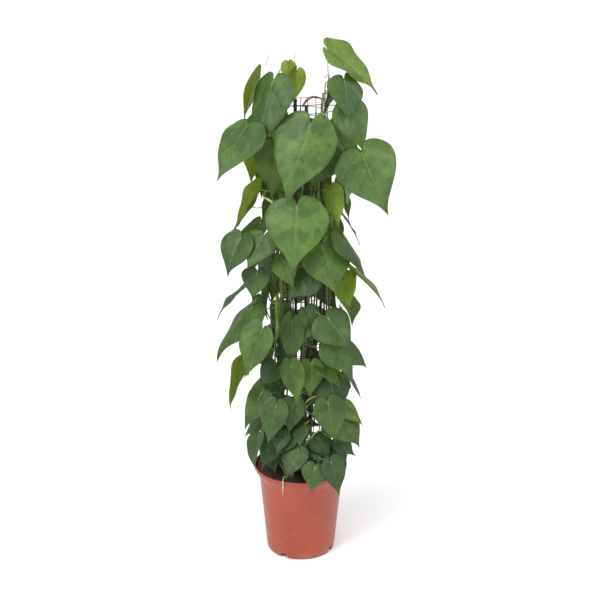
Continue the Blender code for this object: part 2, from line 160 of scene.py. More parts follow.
# ---- materials -----------------------------------------------------------------------------------
def leaf_material(name, upper):
    """A waxy blade: UV runs along the midrib and across, the tone attribute sets each leaf apart."""
    tree = Tree(name)
    split = tree.add("ShaderNodeSeparateXYZ")
    tree.join(tree.add("ShaderNodeUVMap", uv_map="blade").outputs[0], split.inputs[0])
    along = split.outputs[0]
    across = tree.math("ABSOLUTE", tree.math("MULTIPLY_ADD", split.outputs[1], 2.0, -1.0))
    tone = tree.add("ShaderNodeSeparateColor")
    tree.join(tree.add("ShaderNodeAttribute", attribute_name="tone").outputs["Color"], tone.inputs[0])
    light, warm, pale = tone.outputs[0], tone.outputs[1], tone.outputs[2]

    bend = tree.times(tree.math("POWER", across, VEIN_BEND), VEIN_RISE)
    bend = tree.plus(bend, tree.times(tree.noise(30.0, 2.0), 0.05))
    swept = tree.math("SUBTRACT", along, bend)
    side_vein = vein_mask(tree, swept, VEIN_STEP, 0.03, 0.11)
    quilt = vein_mask(tree, swept, VEIN_STEP, 0.04, 0.48)
    fine_vein = vein_mask(tree, swept, VEIN_STEP / 4, 0.12, 0.42)
    midrib = tree.ramp(across, 0.010, 0.040, 1.0, 0.0)
    margin = tree.ramp(across, 0.955, 0.995)
    mottle = tree.noise(32.0, 5.0, 0.62)
    patch = tree.noise(13.0, 2.0)
    speck = tree.noise(420.0, 2.0)

    if upper:
        deep, bright, yellow, cool = LEAF_DEEP, LEAF_BRIGHT, LEAF_YELLOW, LEAF_COOL
        vein_colour, vein_share, edge_share = (0.150, 0.235, 0.075), 0.20, 0.35
    else:
        deep, bright, yellow, cool = UNDER_DEEP, UNDER_BRIGHT, UNDER_YELLOW, UNDER_COOL
        vein_colour, vein_share, edge_share = (0.220, 0.280, 0.095), 0.40, 0.30
    # the tone's light share runs from deep to bright green: partly each leaf's own tone, partly painted
    # shade on the low and shaded leaves
    colour = tree.mix(light, deep, bright)
    colour = tree.mix(warm, colour, yellow)
    # greyish tint from the tone: partly the leaf's own blue-green, partly painted sky reflection on blades
    # that face up
    colour = tree.tint(colour, pale, 0.7, cool)
    # lighter yellow-green patches at random: partly the leaf's own colour, partly painted light
    yellow_patch = tree.ramp(patch, 0.50, 0.68)
    colour = tree.tint(colour, yellow_patch, 0.30, tree.mix(0.5, yellow, bright))
    # painted shade: random dark patches from the mottle noise darken the blade towards deep green, standing
    # in for the shading inside each leaf
    painted_shade = tree.ramp(tree.plus(mottle, tree.times(patch, -0.5)), 0.15, 0.37)
    colour = tree.tint(colour, painted_shade, 0.50, deep)
    # painted shade, finer: small dark spots darken the blade towards deep green for more local shading
    fine_painted_shade = tree.ramp(tree.noise(120.0, 3.0, 0.6), 0.42, 0.62)
    colour = tree.tint(colour, fine_painted_shade, 0.26, deep)
    # painted shade: the blade is darkened near the side veins, where the relief presses them in
    colour = tree.tint(colour, quilt, 0.20, tree.mix(0.6, colour, deep))
    fade = tree.ramp(across, 0.80, 1.0, 1.0, 0.25)
    colour = tree.tint(colour, tree.times(side_vein, fade), vein_share, vein_colour)
    colour = tree.tint(colour, midrib, 0.75, vein_colour)
    colour = tree.tint(colour, margin, edge_share, vein_colour)
    spent = tree.times(tree.ramp(along, 0.955, 1.0), 0.7)
    colour = tree.mix(spent, colour, (0.16, 0.10, 0.04))
    tree.set("Base Color", colour)

    rough = 0.43 if upper else 0.58
    wear = tree.math("MULTIPLY_ADD", mottle, 0.22, rough - 0.11)
    tree.set("Roughness", tree.plus(wear, tree.times(side_vein, 0.05)))
    tree.set("Specular IOR Level", 0.42 if upper else 0.3)
    relief = tree.times(quilt, -0.65 if upper else 1.4)
    relief = tree.plus(relief, tree.times(fine_vein, -0.15 if upper else 0.2))
    relief = tree.plus(relief, tree.times(speck, 0.25))
    relief = tree.plus(relief, tree.times(mottle, 0.8))
    normal = tree.bump(relief, 0.7, 0.0008)

    through = tree.add("ShaderNodeBsdfTranslucent")
    glow = tree.mix(light, (0.23, 0.36, 0.09), (0.48, 0.64, 0.19))
    glow = tree.mix(warm, glow, (0.86, 0.95, 0.18))
    glow = tree.mix(tree.times(midrib, 0.5), glow, (0.03, 0.05, 0.01))
    tree.put(through.inputs["Color"], glow)
    tree.join(normal, through.inputs["Normal"])
    blend = tree.add("ShaderNodeMixShader")
    blend.inputs[0].default_value = LEAF_THROUGH
    tree.join(tree.shader.outputs[0], blend.inputs[1])
    tree.join(through.outputs[0], blend.inputs[2])
    tree.join(blend.outputs[0], tree.output.inputs["Surface"])
    return tree.material


def vein_mask(tree, swept, step, thin, wide):
    """1 on each vein and 0 between, for veins a step apart."""
    share = tree.math("FRACT", tree.math("DIVIDE", swept, step))
    near = tree.math("ABSOLUTE", tree.math("SUBTRACT", share, 0.5))
    return tree.ramp(near, 0.5 - wide, 0.5 - thin)


def vine_material():
    """Stems brown and woody by the net, stalks fresh green further out."""
    tree = Tree("vine_bark")
    radius, height = tree.spot()
    outward = tree.ramp(radius, NET_RADIUS + 0.016, NET_RADIUS + 0.030)
    upward = tree.ramp(height, SOIL_TOP + 0.45, NET_HIGH.z)
    streak = tree.noise(260.0, 4.0, stretch=(1.0, 1.0, 0.08))
    blotch = tree.noise(70.0, 3.0)
    bark = tree.mix(streak, (0.050, 0.042, 0.016), (0.17, 0.145, 0.060))
    young = tree.mix(streak, (0.080, 0.120, 0.025), (0.22, 0.27, 0.070))
    stem = tree.mix(tree.math("MULTIPLY_ADD", upward, 0.5, tree.times(blotch, 0.5)), bark, young)
    stalk = tree.mix(blotch, (0.10, 0.17, 0.035), (0.24, 0.30, 0.085))
    tree.set("Base Color", tree.mix(outward, stem, stalk))
    tree.set("Roughness", tree.math("MULTIPLY_ADD", streak, 0.3, 0.38))
    tree.bump(tree.plus(streak, blotch), 0.5, 0.0008)
    return tree.material


def plain_grain(name, dark, light, scale, roughness, bump=0.3, distance=0.0005, stretch=None):
    """Two shades mixed by grain, with matching roughness and relief."""
    tree = Tree(name)
    grain = tree.noise(scale, 5.0, 0.6, stretch=stretch)
    tree.set("Base Color", tree.mix(tree.ramp(grain, 0.3, 0.7), dark, light))
    tree.set("Roughness", tree.math("MULTIPLY_ADD", grain, 0.3, roughness - 0.15))
    tree.bump(grain, bump, distance)
    return tree.material


def pot_material():
    """Terracotta-coloured moulded plastic: fine flow lines, scuffs, a dusty foot and soil stains."""
    tree = Tree("terracotta_moulded_plastic")
    split = tree.add("ShaderNodeSeparateXYZ")
    tree.join(tree.place(), split.inputs[0])
    height = split.outputs[2]
    cloud = tree.noise(11.0, 4.0)
    flow = tree.noise(60.0, 3.0, stretch=(1.0, 1.0, 0.06))
    speck = tree.noise(900.0, 2.0)
    scuff = tree.ramp(tree.noise(45.0, 6.0, 0.75), 0.60, 0.72)
    colour = tree.mix(tree.ramp(cloud, 0.3, 0.7), POT_DEEP, POT_BRIGHT)
    colour = tree.tint(colour, flow, 0.22, POT_PALE)
    colour = tree.tint(colour, scuff, 0.22, (0.55, 0.30, 0.22))
    foot = tree.times(tree.ramp(height, 0.0, 0.030, 1.0, 0.0), tree.ramp(cloud, 0.35, 0.65))
    colour = tree.tint(colour, foot, 0.45, (0.24, 0.15, 0.10))
    stain = tree.times(tree.ramp(height, POT_HEIGHT - 0.022, POT_HEIGHT), tree.ramp(scuff, 0.0, 0.9))
    colour = tree.tint(colour, stain, 0.4, (0.10, 0.045, 0.03))
    tree.set("Base Color", colour)
    rough = tree.math("MULTIPLY_ADD", cloud, 0.20, 0.30)
    tree.set("Roughness", tree.plus(rough, tree.times(scuff, 0.18)))
    relief = tree.plus(tree.times(speck, 0.3), flow)
    tree.bump(relief, 0.18, 0.0006)
    return tree.material


def soil_material():
    """Dark damp peat with lighter fibres."""
    tree = Tree("damp_potting_mix")
    clod = tree.noise(130.0, 6.0, 0.7)
    fibre = tree.ramp(tree.noise(320.0, 4.0, 0.7), 0.62, 0.72)
    radius, _ = tree.spot()
    dry = tree.ramp(radius, RIM_RADIUS * 0.62, RIM_RADIUS * 0.95)
    colour = tree.mix(tree.ramp(clod, 0.35, 0.65), (0.006, 0.0045, 0.0035), (0.032, 0.021, 0.014))
    crust = tree.mix(clod, (0.034, 0.018, 0.011), (0.200, 0.098, 0.062))
    colour = tree.mix(tree.times(dry, tree.ramp(clod, 0.35, 0.60)), colour, crust)
    tree.set("Base Color", tree.tint(colour, fibre, 0.5, (0.10, 0.06, 0.035)))
    tree.set("Roughness", tree.math("MULTIPLY_ADD", clod, 0.25, 0.72))
    tree.bump(tree.plus(clod, fibre), 0.9, 0.003)
    return tree.material


# ---- leaf shape ----------------------------------------------------------------------------------
# side veins: how far apart along the midrib, and how they sweep towards the tip
VEIN_STEP = 0.185
VEIN_RISE = 0.30
VEIN_BEND = 1.10
LEAF_THICK = 0.0007
LEAF_ROWS = 46
LEAF_COLUMNS = 12
FILL_STEP = 0.022
FILL_TRIES = 14
# directions looked along, in degrees, and how far to each side of the axis
FILL_SIGHTS = (90, 0, 45, 135, 70, 110)
FILL_OFFSETS = (-0.045, -0.015, 0.015, 0.045)
LOW_TRIES = 420
LEAF_THROUGH = 0.38

LEAF_DEEP = (0.016, 0.042, 0.014)
LEAF_BRIGHT = (0.138, 0.300, 0.058)
LEAF_YELLOW = (0.230, 0.330, 0.025)
LEAF_COOL = (0.105, 0.165, 0.085)
UNDER_DEEP = (0.050, 0.088, 0.022)
UNDER_BRIGHT = (0.170, 0.260, 0.062)
UNDER_YELLOW = (0.240, 0.300, 0.022)
UNDER_COOL = (0.140, 0.190, 0.095)
POT_DEEP = (0.250, 0.032, 0.011)
POT_BRIGHT = (0.310, 0.043, 0.016)
POT_PALE = (0.380, 0.090, 0.050)

# half width of a blade along its midrib, as a share of its widest half
OUTLINE = (
    (0.0, 0.820), (0.08, 0.945), (0.19, 1.0), (0.33, 0.945), (0.48, 0.790), (0.61, 0.570),
    (0.72, 0.355), (0.80, 0.215), (0.88, 0.110), (0.95, 0.045), (1.0, 0.010),
)
# how far the rounded lobes reach back past the stalk, from the midrib out to the margin
LOBES = (
    (0.0, 0.0), (0.05, 0.48), (0.13, 0.82), (0.27, 0.98),
    (0.44, 1.0), (0.62, 0.87), (0.82, 0.55), (1.0, 0.10),
)

# look of each leaf: light, yellow, greyish; light is partly the leaf's own tone and partly painted shade,
# kept low on the shaded low leaves; the greyish tint is partly the leaf's own blue-green and partly painted
# sky reflection; the rest take a quiet middle tone
TONES = {
    "leaf_top_1": (0.60, 0.40, 0.15),
    "leaf_top_2": (0.35, 0.45, 0.0),
    "leaf_top_3": (0.35, 0.0, 0.35),
    "leaf_top_4": (0.35, 0.05, 0.25),
    "leaf_top_5": (0.60, 0.05, 0.45),
    "leaf_top_6": (0.45, 0.05, 0.40),
    "leaf_top_7": (0.68, 0.10, 0.30),
    "leaf_upper_1": (0.40, 0.70, 0.0),
    "leaf_upper_2": (0.50, 0.10, 0.35),
    "leaf_upper_3": (0.80, 0.50, 0.10),
    "leaf_upper_4": (0.35, 0.25, 0.05),
    "leaf_upper_5": (0.75, 0.10, 0.10),
    "leaf_upper_6": (0.50, 0.60, 0.0),
    "leaf_upper_7": (0.25, 0.05, 0.25),
    "leaf_upper_8": (0.35, 0.05, 0.20),
    "leaf_upper_9": (0.50, 0.15, 0.05),
    "leaf_upper_10": (0.15, 0.05, 0.35),
    "leaf_middle_1": (0.15, 0.0, 0.35),
    "leaf_middle_2": (0.10, 0.05, 0.15),
    "leaf_middle_3": (0.20, 0.10, 0.10),
    "leaf_middle_4": (0.40, 0.15, 0.15),
    "leaf_middle_5": (0.45, 0.35, 0.05),
    "leaf_middle_6": (0.25, 0.15, 0.0),
    "leaf_middle_7": (0.55, 0.65, 0.0),
    "leaf_middle_8": (0.40, 0.40, 0.05),
    "leaf_middle_9": (0.30, 0.05, 0.20),
    "leaf_middle_10": (0.40, 0.05, 0.25),
    "leaf_middle_11": (0.35, 0.10, 0.10),
    "leaf_middle_12": (0.40, 0.45, 0.0),
    "leaf_middle_13": (0.35, 0.20, 0.0),
    "leaf_low_1": (0.30, 0.05, 0.15),
    "leaf_low_2": (0.35, 0.05, 0.40),
    "leaf_low_3": (0.15, 0.05, 0.40),
    "leaf_low_4": (0.28, 0.08, 0.20),
    "leaf_low_5": (0.28, 0.08, 0.30),
    "leaf_low_6": (0.20, 0.10, 0.15),
    "leaf_low_7": (0.30, 0.10, 0.20),
    "leaf_low_8": (0.22, 0.0, 0.50),
}

# small leaves too fine for a solid: vine they grow on, place of the blade's base (side, depth,
# height in cm), length and width in cm, facing, tilt and swing in degrees, fold, and tone
SMALL_LEAVES = (
    ("vine_2", -3.0, 2.0, 126.5, 5.5, 3.6, 95, -30, 5, 0.25, (0.80, 0.75, 0.0)),
    ("vine_2", -0.9, 1.0, 124.6, 8.8, 4.4, -70, 5, -12, 0.25, (0.60, 0.85, 0.0)),
    ("vine_1", 6.5, -4.0, 123.0, 8.5, 6.0, -15, 5, -31, 0.30, (0.10, 0.10, 0.0)),
    ("vine_2", -6.0, -7.5, 108.5, 12.5, 9.5, -100, 5, -3, 0.10, (0.20, 0.25, 0.0)),
    ("vine_1", 9.6, -5.0, 92.0, 9.5, 6.5, 5, 37, 3, 0.10, (0.20, 0.05, 0.3)),
    ("vine_1", 2.2, -9.5, 77.7, 8.0, 8.0, -100, 40, -38, -0.10, (0.15, 0.0, 0.45)),
    ("vine_1", 4.9, -10.0, 54.3, 7.5, 6.0, -30, 65, -9, 0.10, (0.12, 0.20, 0.0)),
    ("vine_2", -6.4, -9.0, 54.6, 6.5, 6.5, -110, 30, -30, -0.10, (0.08, 0.05, 0.05)),
    ("vine_1", 2.5, -10.5, 55.5, 8.5, 7.0, -80, 20, -5, 0.10, (0.40, 0.20, 0.0)),
    ("vine_1", 3.7, -9.0, 66.4, 6.0, 6.5, -100, 35, -29, -0.10, (0.20, 0.05, 0.2)),
    ("vine_5", 11.2, -5.0, 50.5, 8.0, 5.0, 5, 44, -43, 0.15, (0.15, 0.05, 0.3)),
    ("vine_1", 7.4, -9.5, 50.0, 8.0, 8.5, -80, 30, 7, -0.15, (0.15, 0.0, 0.35)),
    ("vine_5", 10.2, -8.0, 44.5, 8.0, 6.5, -45, 55, 10, -0.30, (0.35, 0.40, 0.0)),
    ("vine_1", 3.8, -9.0, 35.0, 6.0, 6.5, -80, 35, 30, -0.10, (0.15, 0.0, 0.35)),
    ("vine_2", -2.2, -9.0, 37.0, 8.0, 6.0, -110, 35, -24, 0.20, (0.10, 0.10, 0.0)),
    ("vine_5", 9.0, -9.0, 34.5, 6.5, 5.5, -60, 40, 35, 0.10, (0.08, 0.05, 0.1)),
)


def smooth_curve(places, keys):
    """A smooth curve through (place, value) keys, read at each of the places."""
    xs = np.array([key[0] for key in keys])
    ys = np.array([key[1] for key in keys])
    slopes = np.gradient(ys, xs)
    index = np.clip(np.searchsorted(xs, places, side="right") - 1, 0, len(xs) - 2)
    gap = xs[index + 1] - xs[index]
    t = (places - xs[index]) / gap
    low = (1 + 2 * t) * (1 - t) ** 2 * ys[index] + t * (1 - t) ** 2 * gap * slopes[index]
    high = t * t * (3 - 2 * t) * ys[index + 1] + t * t * (t - 1) * gap * slopes[index + 1]
    return low + high


def leaf_axes(facing, tilt, swing):
    """Unit vectors of a leaf: along the midrib to the tip, across the blade, out of its upper face."""
    turn, lift, lean = (math.radians(value) for value in (facing, tilt, swing))
    out = Vector((math.cos(turn) * math.cos(lift), math.sin(turn) * math.cos(lift), math.sin(lift)))
    down = Vector((math.cos(turn) * math.sin(lift), math.sin(turn) * math.sin(lift), -math.cos(lift)))
    side = out.cross(down)
    along = down * math.cos(lean) + side * math.sin(lean)
    return along, out.cross(along), out


def read_leaf(node):
    """Measures a leaf's CAD solid: where its stalk joins, its axes, its size and how it is bent."""
    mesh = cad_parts[node].data
    points = np.array([vertex.co for vertex in mesh.vertices])
    areas = np.array([face.area for face in mesh.polygons])
    middles = np.array([face.center for face in mesh.polygons])
    centre = (middles * areas[:, None]).sum(0) / areas.sum()
    spread = (middles - centre) * np.sqrt(areas)[:, None]
    out = np.linalg.svd(spread, full_matrices=False)[2][2]
    outward = np.array([centre[0], centre[1], 0.12])
    if out @ outward < 0:
        out = -out
    tip = points[np.argmax(np.linalg.norm(points - centre, axis=1))]
    along = tip - centre
    along -= out * (along @ out)
    along /= np.linalg.norm(along)
    across = np.cross(out, along)
    local = np.stack([(points - centre) @ axis for axis in (along, across, out)], axis=1)
    length_guess = np.ptp(local[:, 0])
    middle = local[np.abs(local[:, 1]) < 0.05 * length_guess]
    base = middle[:, 0].min()
    a = local[:, 0] - base
    b = local[:, 1]
    length = a.max()
    terms = bend_terms(a, b, length)
    bend = np.linalg.lstsq(terms, local[:, 2], rcond=None)[0]
    return {
        "origin": centre + along * base,
        "axes": (along, across, out),
        "length": length,
        "width": np.ptp(b),
        "lobe": -0.90 * a.min() / length,
        "height": lambda along_it, across_it: bend_terms(along_it, across_it, length) @ bend,
    }


def bend_terms(a, b, length):
    """The bends a blade can have: level, slope, droop, twist, fold and cup."""
    a = a / length
    b = b / length
    return np.stack([a * 0 + 1, a, a * a, a**3, b, a * b, np.abs(b), b * b], axis=-1)


def vein_relief(s, v):
    """How deep the veins press into the upper face, from 0 to 1."""
    swept = s - VEIN_RISE * np.abs(v) ** VEIN_BEND
    near = np.abs((swept / VEIN_STEP) % 1.0 - 0.5)
    return np.clip((near - 0.30) / 0.20, 0, 1) ** 2 * (1 - np.abs(v) ** 3)


def blade_sheet(leaf, seed, detail=1.0):
    """A fine heart-shaped sheet over the measured blade, with lobes, drip tip, waves and veins."""
    chance = random.Random(seed)
    length, width = leaf["length"], leaf["width"]
    rows = np.linspace(0.0, 1.0, int(LEAF_ROWS * detail)) ** 0.92
    steps = np.linspace(-1.0, 1.0, 2 * int(LEAF_COLUMNS * detail) + 1)
    columns = np.sign(steps) * np.abs(steps) ** 1.3
    s, v = np.meshgrid(rows, columns, indexing="ij")
    half = smooth_curve(s, OUTLINE)
    lobes = smooth_curve(np.abs(v), LOBES)
    half = half * (1 + chance.uniform(-0.08, 0.08) * np.sign(v))
    a = length * (s - leaf["lobe"] * lobes * (1 + chance.uniform(-0.25, 0.25) * np.sign(v)) * (1 - s) ** 2.2)
    b = width / 2 * half * v
    tip_side = chance.uniform(-0.05, 0.05) * length
    b = b + tip_side * np.clip((s - 0.65) / 0.35, 0, 1) ** 2
    height = leaf["height"](a, b)
    edge = np.abs(v) ** 3
    wave = np.sin(math.tau * chance.uniform(1.3, 2.4) * s + chance.uniform(0, math.tau) + 0.9 * np.sign(v))
    height += wave * edge * (1 - s) ** 0.5 * length * chance.uniform(0.014, 0.034)
    height += chance.uniform(-0.05, 0.02) * length * edge * (1 - s) ** 1.5
    height += chance.uniform(-0.05, 0.05) * b * (s - 0.3) * 3
    height -= 0.0022 * np.exp(-((b / 0.0035) ** 2)) * (1 - s)
    height -= 0.0004 * vein_relief(s, v)
    height -= chance.uniform(0.0, 0.05) * length * np.clip((s - 0.75) / 0.25, 0, 1) ** 2
    along, across, out = leaf["axes"]
    places = leaf["origin"] + a[..., None] * along + b[..., None] * across + height[..., None] * out
    return rows, columns, places


def sheet_faces(row_count, column_count):
    start = np.arange(row_count * column_count).reshape(row_count, column_count)
    corners = (start[:-1, :-1], start[1:, :-1], start[1:, 1:], start[:-1, 1:])
    return np.stack(corners, axis=-1).reshape(-1, 4)


def blade_mesh(name, leaf, tone, seed, detail=1.0):
    """The blade as a mesh, with its place along and across as UV and its tone as a colour."""
    rows, columns, places = blade_sheet(leaf, seed, detail)
    faces = sheet_faces(len(rows), len(columns))
    mesh = bpy.data.meshes.new(name)
    mesh.from_pydata(places.reshape(-1, 3).tolist(), [], faces.tolist())
    mesh.polygons.foreach_set("use_smooth", [True] * len(faces))
    s, v = np.meshgrid(rows, columns / 2 + 0.5, indexing="ij")
    uv = np.stack([s.ravel(), v.ravel()], axis=-1)[faces.ravel()]
    mesh.uv_layers.new(name="blade").data.foreach_set("uv", uv.ravel().astype(np.float32))
    colours = mesh.color_attributes.new("tone", "FLOAT_COLOR", "POINT")
    values = np.tile(np.array([*tone, 1.0], dtype=np.float32), len(mesh.vertices))
    colours.data.foreach_set("color", values)
    return mesh


def new_object(name, data):
    made = bpy.data.objects.new(name, data)
    bpy.context.scene.collection.objects.link(made)
    return made


def add_piece(name, mesh, materials, nodes=()):
    """A finished piece that rides on the plant and stands for CAD nodes."""
    piece = new_object(name, mesh)
    mesh.materials.clear()
    for material in materials:
        mesh.materials.append(material)
    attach(piece, "root")
    if nodes:
        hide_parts(*nodes)
    return piece


def add_shape(name, shape, material, nodes=()):
    return add_piece(name, finish_shape(name, shape), (material,), nodes)


def thicken_leaf(piece):
    solid = piece.modifiers.new("blade_thickness", "SOLIDIFY")
    solid.thickness = LEAF_THICK
    solid.offset = 0.0
    solid.material_offset = 1
    solid.use_quality_normals = True


# ---- round bodies and tubes ----------------------------------------------------------------------
def lathe(name, profile, steps):
    """A closed solid of revolution, from the axis on top down the outside to the axis below."""
    mesh = bpy.data.meshes.new(name)
    verts = []
    faces = []
    rings = []
    for radius, height in profile:
        if radius < 1e-6:
            rings.append([len(verts)])
            verts.append((0.0, 0.0, height))
            continue
        ring = []
        for i in range(steps):
            angle = math.tau * i / steps
            ring.append(len(verts))
            verts.append((*polar(radius, angle), height))
        rings.append(ring)
    for upper, lower in zip(rings, rings[1:]):
        for i in range(steps):
            k = (i + 1) % steps
            if len(upper) == 1:
                faces.append((upper[0], lower[i], lower[k]))
            elif len(lower) == 1:
                faces.append((upper[i], lower[0], upper[k]))
            else:
                faces.append((upper[i], lower[i], lower[k], upper[k]))
    mesh.from_pydata(verts, [], faces)
    for face in mesh.polygons:
        face.use_smooth = True
    return mesh


def tube(shape, points, radii, sides):
    """Adds a closed round tube through the points to a bmesh."""
    points = [Vector(point) for point in points]
    rings = []
    guide = None
    for i, point in enumerate(points):
        ahead = points[min(i + 1, len(points) - 1)] - points[max(i - 1, 0)]
        ahead.normalize()
        if guide is None:
            guide = ahead.orthogonal().normalized()
        guide = (guide - ahead * guide.dot(ahead)).normalized()
        other = ahead.cross(guide)
        ring = []
        for k in range(sides):
            angle = math.tau * k / sides
            spoke = guide * math.cos(angle) + other * math.sin(angle)
            ring.append(shape.verts.new(point + spoke * radii[i]))
        rings.append(ring)
    for low, high in zip(rings, rings[1:]):
        for k in range(sides):
            face = shape.faces.new((low[k], low[(k + 1) % sides], high[(k + 1) % sides], high[k]))
            face.smooth = True
    shape.faces.new(list(reversed(rings[0])))
    shape.faces.new(rings[-1])


def finish_shape(name, shape):
    mesh = bpy.data.meshes.new(name)
    shape.to_mesh(mesh)
    shape.free()
    return mesh


def bezier(a, b, c, d, count):
    points = []
    for i in range(count):
        t = i / (count - 1)
        rest = 1 - t
        points.append(a * rest**3 + b * 3 * rest**2 * t + c * 3 * rest * t * t + d * t**3)
    return points


def stem_at(vine, height):
    """The middle of a vine's stem near a height, read from its CAD node."""
    points = VINE_POINTS[vine]
    radius = np.hypot(points[:, 0], points[:, 1])
    stem = points[radius < NET_RADIUS + 0.0165]
    gap = np.abs(stem[:, 2] - height)
    near = stem[gap < gap.min() + 0.05]
    weight = 1.0 / (np.abs(near[:, 2] - height) + 0.01)
    middle = (near * weight[:, None]).sum(0) / weight.sum()
    top = stem[:, 2].max()
    return Vector((middle[0], middle[1], min(height, top)))


# ---- build: leaves -------------------------------------------------------------------------------
def build_leaves(materials):
    blades = []
    for name in LEAF_NAMES:
        chance = random.Random(name)
        quiet = (chance.uniform(0.25, 0.55), chance.uniform(0.0, 0.2), chance.uniform(0.0, 0.3))
        mesh = blade_mesh(name + "_blade", read_leaf(name), TONES.get(name, quiet), name)
        piece = add_piece(name + "_blade", mesh, materials, (name,))
        thicken_leaf(piece)
        blades.append(mesh)
    return blades


def small_leaf(row):
    _, side, depth, height, length, width, facing, tilt, swing, fold, tone = row
    along, across, out = leaf_axes(facing, tilt, swing)
    size = length / 100

    def bent(a, b):
        return fold * np.abs(b) - 0.12 * size * np.clip(a / size, 0, None) ** 2

    leaf = {
        "origin": np.array((side, depth, height)) / 100,
        "axes": (np.array(along), np.array(across), np.array(out)),
        "length": size,
        "width": width / 100,
        "lobe": 0.14,
        "height": bent,
    }
    return leaf, tone


def build_small_leaves(blades, materials, stalk_material):
    for number, row in enumerate(SMALL_LEAVES, 1):
        blades.append(small_blade("small_leaf_%d" % number, row, materials))
    fills = fill_leaves(blades)
    for number, row in enumerate(fills, 1):
        blades.append(small_blade("side_leaf_%d" % number, row, materials))
    shape = bmesh.new()
    for row in SMALL_LEAVES + tuple(fills):
        leaf, _ = small_leaf(row)
        out = Vector(leaf["axes"][2])
        end = Vector(leaf["origin"]) - out * 0.001
        start = stem_at(row[0], end.z - 0.045)
        reach = (end - start).length
        away = Vector((start.x, start.y, 0.0)).normalized()
        first = start + (away + Vector((0, 0, 0.9))).normalized() * reach * 0.4
        points = bezier(start, first, end - out * reach * 0.35, end, 14)
        tube(shape, points, [0.0018 - 0.0004 * i / 13 for i in range(14)], 8)
    add_shape("small_leaf_stalks", shape, stalk_material)


def small_blade(name, row, materials):
    leaf, tone = small_leaf(row)
    mesh = blade_mesh(name, leaf, tone, name, 0.7)
    thicken_leaf(add_piece(name, mesh, materials))
    return mesh


def nearest_vine(turn):
    """The vine whose middle stands closest to a direction round the column."""
    def gap(name):
        spot = stem_at(name, (SOIL_TOP + NET_HIGH.z) / 2)
        return abs((math.degrees(math.atan2(spot.y, spot.x)) - turn + 180) % 360 - 180)
    return min(VINE_NAMES, key=gap)


def fill_row(chance, sight, offset, height):
    """One guess at a leaf that would close a gap seen along a line of sight through the column."""
    side = -1 if chance.random() < 0.45 else 1
    reach = chance.uniform(0.070, 0.105)
    across = math.radians(sight + 90)
    turn = math.radians(sight if side > 0 else sight + 180)
    length = chance.uniform(6.5, 9.5) + 2.5 * (height - SOIL_TOP) / (NET_HIGH.z - SOIL_TOP)
    x = reach * math.cos(turn) + offset * math.cos(across)
    y = reach * math.sin(turn) + offset * math.sin(across)
    around = math.degrees(math.atan2(y, x))
    facing = around + chance.gauss(0, 18)
    base = (100 * x, 100 * y, 100 * height + 0.4 * length)
    tone = (chance.uniform(0.08, 0.50), chance.choice((0.05, 0.1, 0.3)), chance.uniform(0.0, 0.3))
    width = length * chance.uniform(0.72, 0.90)
    bend = chance.uniform(-0.15, 0.2)
    tilt = chance.uniform(0, 30)
    swing = chance.gauss(0, 20)
    return (nearest_vine(around), *base, length, width, facing, tilt, swing, bend, tone)


def fill_leaves(blades):
    """Grows small leaves wherever the light still shines through the column, on every side."""
    chance = random.Random(21)
    cloud = np.concatenate([blade_places(blade)[::3] for blade in blades])
    screens = [BVHTree.FromPolygons(blade_places(blade), blade_corners(blade)) for blade in blades]
    rows = []

    def grow(row):
        nonlocal cloud
        _, _, places = blade_sheet(small_leaf(row)[0], 1, 0.35)
        flat = places.reshape(-1, 3)
        if not has_room(flat, cloud):
            return False
        rows.append(row)
        cloud = np.concatenate([cloud, flat])
        screens.append(BVHTree.FromPolygons(flat, sheet_faces(*places.shape[:2]).tolist()))
        return True

    for _ in range(LOW_TRIES):
        grow(low_row(chance))
    steps = int((NET_HIGH.z - 0.10 - SOIL_TOP) / FILL_STEP)
    for sight in FILL_SIGHTS:
        along = Vector((math.cos(math.radians(sight)), math.sin(math.radians(sight)), -0.25)).normalized()
        across = Vector((-along.y, along.x, 0.0)).normalized()
        for k in range(steps):
            height = SOIL_TOP + 0.05 + FILL_STEP * k
            for offset in FILL_OFFSETS:
                start = across * offset + Vector((0, 0, height)) - along * 0.5
                if any(screen.ray_cast(start, along, 1.0)[0] is not None for screen in screens):
                    continue
                for _ in range(FILL_TRIES):
                    if grow(fill_row(chance, sight, offset, height)):
                        break
    return rows


def low_row(chance):
    """One guess at a small leaf of the thick growth just over the soil."""
    turn = chance.choice((chance.gauss(-90, 40), chance.uniform(0, 360)))
    reach = 100 * chance.uniform(0.078, 0.112)
    length = chance.uniform(4.8, 7.2)
    base = (reach * math.cos(math.radians(turn)), reach * math.sin(math.radians(turn)))
    height = 100 * SOIL_TOP + chance.uniform(5.0, 15.0)
    # painted shade: the low leaves take a darker light tone than the rest
    tone = (chance.uniform(0.0, 0.35), chance.choice((0.0, 0.05, 0.2)), chance.uniform(0.0, 0.3))
    facing = turn + chance.gauss(0, 30)
    tilt = chance.uniform(15, 60)
    bend = chance.uniform(-0.2, 0.2)
    swing = chance.gauss(0, 25)
    return (nearest_vine(turn), *base, height, length, 0.85 * length, facing, tilt, swing, bend, tone)


def blade_places(mesh):
    places = np.empty(3 * len(mesh.vertices), dtype=np.float32)
    mesh.vertices.foreach_get("co", places)
    return places.reshape(-1, 3)


def blade_corners(mesh):
    return [tuple(face.vertices) for face in mesh.polygons]


def has_room(places, cloud):
    """True if a blade stays off the net, the pot and every blade before it."""
    if np.hypot(places[:, 0], places[:, 1]).min() < NET_RADIUS + 0.005:
        return False
    if places[:, 2].min() < POT_HEIGHT + 0.004:
        return False
    low, high = places.min(0) - 0.008, places.max(0) + 0.008
    near = cloud[((cloud > low) & (cloud < high)).all(1)]
    if len(near) == 0:
        return True
    return np.linalg.norm(places[:, None] - near[None], axis=2).min() > 0.0065


